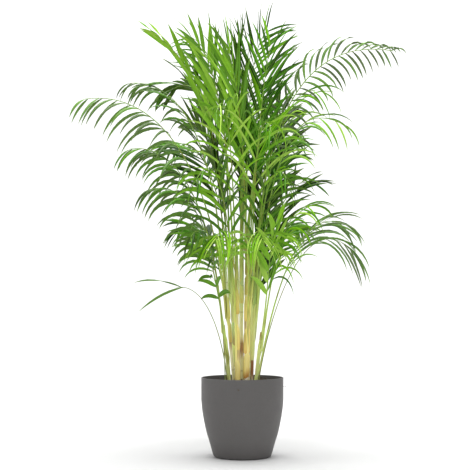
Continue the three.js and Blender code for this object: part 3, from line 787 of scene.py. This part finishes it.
def bent_place(t):
    """Where a blade's corner goes: along a bend from its direction towards the ground."""
    direction = t.named("direction", "FLOAT_VECTOR")
    run = t.named("run", "FLOAT_VECTOR")
    along, across, up = (t.named("blade_" + key) for key in ("along", "across", "up"))
    bend, length, half = t.named("bend"), t.named("length"), t.named("half_width")
    hand = t.named("hand")
    down = Field(t, t.node("ShaderNodeCombineXYZ", {"Z": -1.0}).outputs[0])
    pull = (down + run * LEAFLET_LEAN).unit()
    sag = (pull - direction * pull.dot(direction)).unit()
    late = t.named("late")
    angle = bend * along ** late
    # the run of a curve whose angle grows as that power of the distance, as a series
    square = angle * angle
    ahead = direction * (length * along * (
        1.0 - square / ((late * 2.0 + 1.0) * 2.0) + square * square / ((late * 4.0 + 1.0) * 24.0)
        - square * square * square / ((late * 6.0 + 1.0) * 720.0)))
    below = sag * (length * along * angle * (
        t.number("DIVIDE", 1.0, late + 1.0) - square / ((late * 3.0 + 1.0) * 6.0)
        + square * square / ((late * 5.0 + 1.0) * 120.0)))
    cosine, sine = t.circle(angle)
    heading = (direction * cosine + sag * sine).unit()
    level = (run - heading * run.dot(heading)).unit() * (hand * -1.0)
    normal = heading.cross(level)
    cosine, sine = t.circle(t.named("twist") * (along + 0.15))
    across_way = level * cosine + normal * sine
    up_way = normal * cosine - level * sine
    return (t.named("root", "FLOAT_VECTOR") + ahead + below
            + across_way * (across * half) + up_way * (up * half))


def rod_tree(skin, sides):
    """A plain rod on a polyline: a cane or a rolled young leaf."""
    t = NodeTree("rod")
    line = t.node("GeometryNodeMeshToCurve", {"Mesh": t.shape()}).outputs[0]
    return t.finish(stalk_tube(t, line, skin, sides))


def scatter_tree(soil, fibre):
    """Crumbs and fibres strewn over the soil's upper faces."""
    t = NodeTree("scatter")
    crumb = t.entry("Crumb", "Object")
    strand = t.entry("Fibre", "Object")
    crumbs = t.entry("Crumbs per square metre")
    strands = t.entry("Fibres per square metre")
    crumb_size = t.entry("Crumb size")
    strand_size = t.entry("Fibre length")
    seed = t.entry("Seed", "Int")
    shapes = [t.paint(t.shape(), soil)]
    top = t.named("top_face")
    for piece, density, size, material, salt in (
            (crumb, crumbs, crumb_size, soil, 11), (strand, strands, strand_size, fibre, 31)):
        placed = t.node("GeometryNodeDistributePointsOnFaces", {
            "Mesh": t.shape(), "Selection": top, "Density": density,
            "Seed": seed + float(salt)})
        angles = t.node("ShaderNodeCombineXYZ", {
            "X": t.random(-0.5, 0.5, seed, salt + 1), "Y": t.random(-0.5, 0.5, seed, salt + 2),
            "Z": t.random(0.0, 6.28, seed, salt + 3)})
        shapes.append(t.paint(t.strew(
            piece, placed.outputs["Points"], Rotation=Field(t, angles.outputs[0]),
            Scale=size * t.random(0.35, 1.0, seed, salt + 4)), material))
    return t.finish(t.forget(t.join(*shapes), "top_face"))


# ---- lines that the fronds and canes follow ------------------------------------------
def blend(a, b, share):
    return a + (b - a) * share


def cane_point(name, height):
    """The cane's axis at a height, in metres."""
    x, y, top_x, top_y, top, _ = CANES[name]
    share = (height - SOIL_TOP) / (top * MM - SOIL_TOP)
    return Vector((blend(x, top_x, share) * MM, blend(y, top_y, share) * MM, height))


def cane_radius(name, height):
    """The cane's radius at a height: swollen at the foot, slim at the top."""
    radius, low, top = CANES[name][5] * MM, SOIL_TOP - ROOT_DEPTH, CANES[name][4] * MM
    share = (height - low) / (top - low)
    for (a, low_radius), (b, high_radius) in zip(CANE_TAPER, CANE_TAPER[1:]):
        if share <= b:
            return radius * blend(low_radius, high_radius, max(share - a, 0) / (b - a))
    return radius * CANE_TAPER[-1][1]


def arch(name):
    """The four points of a frond's arch, foot to tip, and the axis it leaves."""
    stem, rise, reach, tip = FRONDS[name][:4]
    tip = Vector(tip) * MM
    if isinstance(stem[0], str):
        axis = cane_point(stem[0], stem[1] * MM)
        stand_off = CANES[stem[0]][5] * MM + FOOT_STANDOFF
    else:
        axis = Vector((stem[0] * MM, stem[1] * MM, SOIL_TOP - ROOT_DEPTH))
        stand_off = 0.0
    heading = math.radians(FEET[name]) if name in FEET else math.atan2(
        tip.y - axis.y, tip.x - axis.x)
    foot = axis + Vector((math.cos(heading), math.sin(heading), 0)) * stand_off
    inner = [Vector((x * MM, blend(foot.y, tip.y, depth), z * MM))
             for (x, z), depth in ((rise, 0.12), (reach, 0.55))]
    swing = Matrix.Rotation(math.radians(SWINGS.get(name, 0)), 3, "Z")
    flat = Vector((axis.x, axis.y, 0))
    return [swing @ (p - flat) + flat for p in (foot, *inner, tip)], axis


def even_run(arch_points, count):
    """Points evenly spaced along the arch, and its length."""
    a, b, c, d = arch_points
    fine = []
    for i in range(ARCH_STEPS + 1):
        t = i / ARCH_STEPS
        fine.append(a * (1 - t) ** 3 + b * 3 * t * (1 - t) ** 2 + c * 3 * t * t * (1 - t) + d * t ** 3)
    reached = lengths_along(fine)
    run, i = [], 0
    for k in range(count):
        want = reached[-1] * k / (count - 1)
        while i < ARCH_STEPS - 1 and reached[i + 1] < want:
            i += 1
        share = (want - reached[i]) / (reached[i + 1] - reached[i])
        run.append(fine[i].lerp(fine[i + 1], min(share, 1)))
    return run, reached[-1]


def lengths_along(line):
    """The length of the line up to each of its points."""
    lengths = [0.0]
    for p, q in zip(line, line[1:]):
        lengths.append(lengths[-1] + (q - p).length)
    return lengths


def frond_line(name):
    """A stalk's polyline, where its leaves start, and the level way across it."""
    stem, bare = FRONDS[name][0], FRONDS[name][4]
    points, axis = arch(name)
    run, arch_length = even_run(points, STALK_STEPS)
    line, thickness = [], []
    on_cane = isinstance(stem[0], str)
    if on_cane:
        for below, wrap in SHEATH_WRAP:
            height = axis.z - SHEATH_LENGTH * below
            line.append(cane_point(stem[0], height))
            thickness.append(cane_radius(stem[0], height) + wrap)
        line.append(cane_point(stem[0], axis.z - SHEATH_MOUTH).lerp(run[0], 0.5))
        thickness.append(cane_radius(stem[0], axis.z) * 0.8 + 2 * MM)
    sheath = lengths_along(line + [run[0]])[-1]
    for i, point in enumerate(run):
        share = i / (STALK_STEPS - 1)
        line.append(point)
        if share < bare:
            size = blend(STALK_FOOT, STALK_NECK, (share / bare) ** 0.6)
        else:
            size = blend(STALK_NECK, STALK_TIP, (share - bare) / (1 - bare))
        thickness.append(size if on_cane else size * SOIL_STALK)
    lengths = lengths_along(line)
    along = [length / lengths[-1] for length in lengths]
    leafy_from = (sheath + bare * arch_length) / lengths[-1]
    across = points[3] - points[0]
    ripe = CANE_RIPENESS[stem[0]][0] if on_cane else 0.0
    olive = 0.0 if on_cane else SOIL_STALK_OLIVE
    host = line_host("line", line, thickness=thickness, stalk_along=along,
                     ripe=[ripe] * len(line), olive=[olive] * len(line))
    return host, leafy_from, (-across.y, across.x, 0.0)


def cane_line(name, randomness):
    """The cane's polyline, with ring scars where old leaves came off."""
    low, top = SOIL_TOP - ROOT_DEPTH, CANES[name][4] * MM
    scars, height = [], SOIL_TOP + SCAR_FIRST[0] + randomness.random() * SCAR_FIRST[1]
    while height < top:
        scars.append(height)
        height += randomness.uniform(*SCAR_GAP)
    ripe, rust_height = CANE_RIPENESS[name]
    line, thickness, along, scar, rusty = [], [], [], [], []
    steps = int((top - low) / CANE_STEP)
    for i in range(steps + 1):
        height = blend(low, top, i / steps)
        near = min(abs(height - s) for s in scars)
        swell = SCAR_SWELL * math.exp(-(near / SCAR_SWELL_REACH) ** 2)
        wander = Vector((math.sin(height * 23 + scars[0] * 90), math.cos(height * 19), 0))
        line.append(cane_point(name, height) + wander * CANE_WANDER)
        thickness.append(cane_radius(name, height) * (1 + swell))
        along.append(i / steps)
        scar.append(math.exp(-(near / SCAR_LINE_REACH) ** 2))
        rusty.append(RUST_MOST * math.exp(-((height - rust_height * MM) / RUST_REACH) ** 2))
    return line_host("line", line, thickness=thickness, stalk_along=along, scar=scar,
                     rusty=rusty, ripe=[ripe] * len(line))


def spear_line(name):
    """A young leaf, still rolled: slim, bowed, tapering to a point."""
    cane, tip = SPEARS[name]
    foot = cane_point(cane, CANES[cane][4] * MM)
    end = Vector(tip) * MM
    knee = foot.lerp(end, 0.4) + Vector((0, 0, SPEAR_BOW))
    sheathed = cane_radius(cane, foot.z) + 0.6 * MM
    line, thickness, along = [], [], []
    for i in range(-SPEAR_FOOT_STEPS, SPEAR_STEPS + 1):
        t = max(i / SPEAR_STEPS, 0.0)
        point = foot * (1 - t) ** 2 + knee * 2 * t * (1 - t) + end * t * t
        if i < 0:
            point = cane_point(cane, foot.z + i * SPEAR_FOOT_STEP)
        line.append(point)
        slimming = min((i + SPEAR_FOOT_STEPS) / 12, 1)
        thickness.append(blend(sheathed, SPEAR_RADIUS, slimming) * (1 - t) ** 0.55 + 0.3 * MM)
        along.append(0.1 + 0.7 * t)
    return line_host("line", line, thickness=thickness, stalk_along=along,
                     ripe=[0.6] * len(line))


# ---- pot and soil --------------------------------------------------------------------
def rounded(profile, corner, radius, steps=6):
    """The profile with one of its corners rounded off."""
    before, at, after = (Vector(profile[corner + k]) for k in (-1, 0, 1))
    start = at + (before - at).normalized() * radius
    end = at + (after - at).normalized() * radius
    curve = []
    for i in range(steps + 1):
        t = i / steps
        curve.append(tuple(start * (1 - t) ** 2 + at * 2 * t * (1 - t) + end * t * t))
    return profile[:corner] + curve + profile[corner + 1:]


def smooth_wall(points, steps=8):
    """A smooth curve through the wall's points."""
    knots = [Vector(p) for p in points]
    knots = [knots[0] * 2 - knots[1]] + knots + [knots[-1] * 2 - knots[-2]]
    wall = []
    for a, b, c, d in zip(knots, knots[1:], knots[2:], knots[3:]):
        for i in range(steps):
            t = i / steps
            wall.append(tuple(0.5 * (b * 2 + (c - a) * t + (a * 2 - b * 5 + c * 4 - d) * t * t
                                     + (b * 3 - a - c * 3 + d) * t ** 3)))
    return wall + [tuple(knots[-2])]


def around(radius, sides):
    """The x and y of points evenly round a circle."""
    return [(radius * math.cos(2 * math.pi * k / sides), radius * math.sin(2 * math.pi * k / sides))
            for k in range(sides)]


def turned(name, profile, sides):
    """A closed solid of revolution; the profile starts and ends on the axis."""
    mesh = bpy.data.meshes.new(name)
    shape = bmesh.new()
    rings = []
    for radius, height in profile:
        places = around(radius, sides) if radius > 0 else [(0, 0)]
        rings.append([shape.verts.new((x, y, height)) for x, y in places])
    for low, high in zip(rings, rings[1:]):
        for k in range(sides):
            n = (k + 1) % sides
            corners = (low[k % len(low)], low[n % len(low)], high[n % len(high)], high[k % len(high)])
            # at the axis two corners are the same one
            shape.faces.new(list(dict.fromkeys(corners)))
    shape.normal_update()
    shape.to_mesh(mesh)
    shape.free()
    mesh.shade_smooth()
    return show(name, mesh)


def make_pot():
    """The pot: a flared bowl to a straight collar, with a rounded lip."""
    outside = smooth_wall([(POT_RADIUS * r, POT_HEIGHT * h) for r, h in POT_OUTSIDE])
    outside += [(POT_RADIUS, POT_HEIGHT * POT_COLLAR), (POT_RADIUS, POT_HEIGHT)]
    lip = [(POT_RADIUS, POT_HEIGHT), (POT_RADIUS - POT_WALL, POT_HEIGHT)]
    inside = [(r - POT_WALL, max(h, POT_FLOOR)) for r, h in reversed(outside[:-1])]
    foot = POT_RADIUS * POT_FOOT
    profile = [(0, POT_FOOT_STEP), (foot - POT_FOOT_RING, POT_FOOT_STEP),
               (foot - POT_FOOT_RING / 2, 0), (foot, 0)]
    profile += outside[:-1] + lip + inside + [(0, POT_FLOOR)]
    for corner in lip:
        profile = rounded(profile, profile.index(corner), POT_LIP_ROUND)
    return turned("pot_shell", profile, POT_SIDES)


def soil_ground():
    """A mound with an uneven top and a closed skirt below, its upper faces marked."""
    wall_radius = POT_RADIUS - POT_WALL - SOIL_GAP
    corners, faces = [(0, 0, SOIL_TOP)], []
    for ring in range(1, SOIL_RINGS + 1):
        radius = wall_radius * ring / SOIL_RINGS
        fall = max(radius - SOIL_CROWN, 0) / (wall_radius - SOIL_CROWN)
        height = blend(SOIL_TOP, SOIL_EDGE, fall ** 1.3) - SOIL_SINK
        calm = min(1.0, (wall_radius - radius) / SOIL_CALM)
        for x, y in around(radius, SOIL_SIDES):
            rough = noise.fractal(Vector((x * 60, y * 60, 1.7)), 0.9, 2.0, 4)
            corners.append((x, y, height + SOIL_LUMPS * rough * calm))
    for k in range(SOIL_SIDES):
        n = (k + 1) % SOIL_SIDES
        faces.append((0, 1 + k, 1 + n))
        for ring in range(SOIL_RINGS - 1):
            a = 1 + ring * SOIL_SIDES
            faces.append((a + k, a + SOIL_SIDES + k, a + SOIL_SIDES + n, a + n))
    top_count = len(faces)
    last, base = len(corners) - SOIL_SIDES, len(corners)
    corners += [(x * SOIL_NARROWING, y * SOIL_NARROWING, SOIL_EDGE - SOIL_SKIRT)
                for x, y, _ in corners[last:]]
    corners.append((0, 0, SOIL_EDGE - SOIL_SKIRT))
    for k in range(SOIL_SIDES):
        n = (k + 1) % SOIL_SIDES
        faces.append((last + k, base + k, base + n, last + n))
        faces.append((base + k, len(corners) - 1, base + n))
    mesh = bpy.data.meshes.new("ground")
    mesh.from_pydata(corners, [], faces)
    mesh.shade_smooth()
    layer = mesh.attributes.new("top_face", "FLOAT", "FACE")
    layer.data.foreach_set("value", [1.0 if i < top_count else 0.0 for i in range(len(faces))])
    return show("ground", mesh)


def crumb_pattern():
    """A flat, uneven lump of soil."""
    mesh = bpy.data.meshes.new("crumb")
    shape = bmesh.new()
    bmesh.ops.create_icosphere(shape, subdivisions=1, radius=1.0)
    for i, corner in enumerate(shape.verts):
        corner.co *= 0.8 + 0.4 * ((i * 7) % 5) / 5
        corner.co.z *= 0.7
    shape.to_mesh(mesh)
    shape.free()
    return show("crumb", mesh)


def fibre_pattern(material):
    """A short curled strand."""
    line = [(0.5 * math.cos(i * 0.5) * i / 8 - 0.5, 0.3 * math.sin(i * 0.7), 0.05 + 0.06 * i)
            for i in range(9)]
    host = line_host("line", line, thickness=[0.03] * 9, stalk_along=[0.5] * 9)
    return grow(rod_tree(material, 4), host, {}, "fibre")


def make_soil(materials):
    """A mound of soil with crumbs and fibres on it."""
    ground, crumb, fibre = soil_ground(), crumb_pattern(), fibre_pattern(materials["fibre"])
    piece = grow(scatter_tree(materials["soil"], materials["fibre"]), ground, {
        "Crumb": crumb, "Fibre": fibre, "Crumbs per square metre": 26000.0,
        "Fibres per square metre": 7000.0, "Crumb size": 0.0034, "Fibre length": 0.016,
        "Seed": 5}, "soil_mound")
    for spare in (crumb, fibre):
        bpy.data.objects.remove(spare)
    return piece


# ---- build ---------------------------------------------------------------------------
# each light's place, what it points at, its width and its power in watts
LIGHTS = {
    "top_light": ((0.0, -0.45, 3.3), (0, 0, 0.5), 1.2, 72),
    "left_light": ((-2.8, -2.6, 1.6), (0, 0, 0.7), 2.4, 8),
    "right_light": ((2.8, -2.6, 1.6), (0, 0, 0.7), 2.4, 7),
    "front_light": ((0.0, -4.2, 0.9), (0, 0, 0.5), 1.6, 5),
    "sweep_light": ((0.0, 1.6, 3.6), (0, 4.2, 0.9), 3.0, 175),
}
SKY_STRENGTH = 0.8
CAMERA_PLACE = (-0.0207, -3.2, 0.44)
CAMERA_AIM = (-0.0207, 0, 0.6243)
CAMERA_LENS = 86.3
SWEEP_FRONT, SWEEP_BACK, SWEEP_TOP, SWEEP_SIDE = -6, 3.0, 7, 9
SWEEP_BEND = 1.5


def settle(piece, node):
    """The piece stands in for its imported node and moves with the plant."""
    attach(piece, "root")
    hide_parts(node)


def build_plant():
    materials = {"leaf": leaf_blade(), "stalk": stalk_skin(), "cane": cane_skin(),
                 "soil": soil_crumb(), "fibre": root_fibre(), "pot": pot_plastic()}
    pot = make_pot()
    pot.data.materials.append(materials["pot"])
    settle(pot, "cover_pot")
    settle(make_soil(materials), "potting_soil")

    canes = rod_tree(materials["cane"], 20)
    randomness = random.Random(11)
    for name in CANES:
        settle(grow(canes, cane_line(name, randomness), {}, name + "_stem"), name)
    spears = rod_tree(materials["stalk"], 10)
    for name in SPEARS:
        settle(grow(spears, spear_line(name), {}, name + "_rolled"), name)

    blade = blade_pattern()
    fronds = frond_tree(materials["leaf"], materials["stalk"])
    for seed, (name, row) in enumerate(FRONDS.items()):
        longest, half_width, count, roll, opening, droop, tone = row[5:]
        host, leafy_from, level = frond_line(name)
        piece = grow(fronds, host, {
            "Blade": blade, "Leafy from": leafy_from, "Leaflets a side": count,
            "Longest leaflet": longest * MM, "Half width": half_width * MM,
            "Level side": level, "Roll": math.radians(roll), "Open": math.radians(opening),
            "Open at tip": math.radians(opening * LEAFLET_CLOSED),
            "Rise": math.radians(max(ROW_RISE - ROW_SINK * droop, ROW_LOWEST)),
            "Droop": droop, "Tone and shade": tone, "Dull": DULL.get(name, 0.0),
            "Seed": 100 + 7 * seed}, "leafy_" + name)
        settle(piece, "frond_" + name)
    bpy.data.objects.remove(blade)


def make_sweep():
    """A floor that bends up into a backdrop."""
    profile = [(SWEEP_FRONT, 0), (SWEEP_BACK, 0)]
    for step in range(1, 13):
        angle = step * math.pi / 24
        profile.append((SWEEP_BACK + SWEEP_BEND * math.sin(angle),
                        SWEEP_BEND * (1 - math.cos(angle))))
    profile.append((SWEEP_BACK + SWEEP_BEND, SWEEP_TOP))
    corners = [(x, y, z) for y, z in profile for x in (-SWEEP_SIDE, SWEEP_SIDE)]
    faces = [(2 * i, 2 * i + 1, 2 * i + 3, 2 * i + 2) for i in range(len(profile) - 1)]
    mesh = bpy.data.meshes.new("sweep")
    mesh.from_pydata(corners, [], faces)
    mesh.shade_smooth()
    mesh.materials.append(stage_white())
    return show("sweep", mesh)


def pointed(name, data, place, aim):
    """A light or a camera that stands at a place and looks at another."""
    thing = show(name, data)
    thing.location = place
    thing.rotation_euler = (Vector(aim) - Vector(place)).to_track_quat("-Z", "Y").to_euler()
    return thing


def build_stage():
    """A pale sweep, a bright sky, soft lights and the camera."""
    make_sweep()
    world = bpy.data.worlds.new("studio")
    world.use_nodes = True
    background = world.node_tree.nodes["Background"]
    background.inputs["Color"].default_value = (1, 1, 1, 1)
    background.inputs["Strength"].default_value = SKY_STRENGTH
    SCENE.world = world
    for name, (place, aim, size, power) in LIGHTS.items():
        light = bpy.data.lights.new(name, "AREA")
        light.size = size
        light.energy = power
        pointed(name, light, place, aim)

    lens = bpy.data.cameras.new("camera")
    lens.lens = CAMERA_LENS
    lens.sensor_width = 36
    SCENE.camera = pointed("camera", lens, CAMERA_PLACE, CAMERA_AIM)
    SCENE.view_settings.view_transform = "Standard"


build_plant()
build_stage()
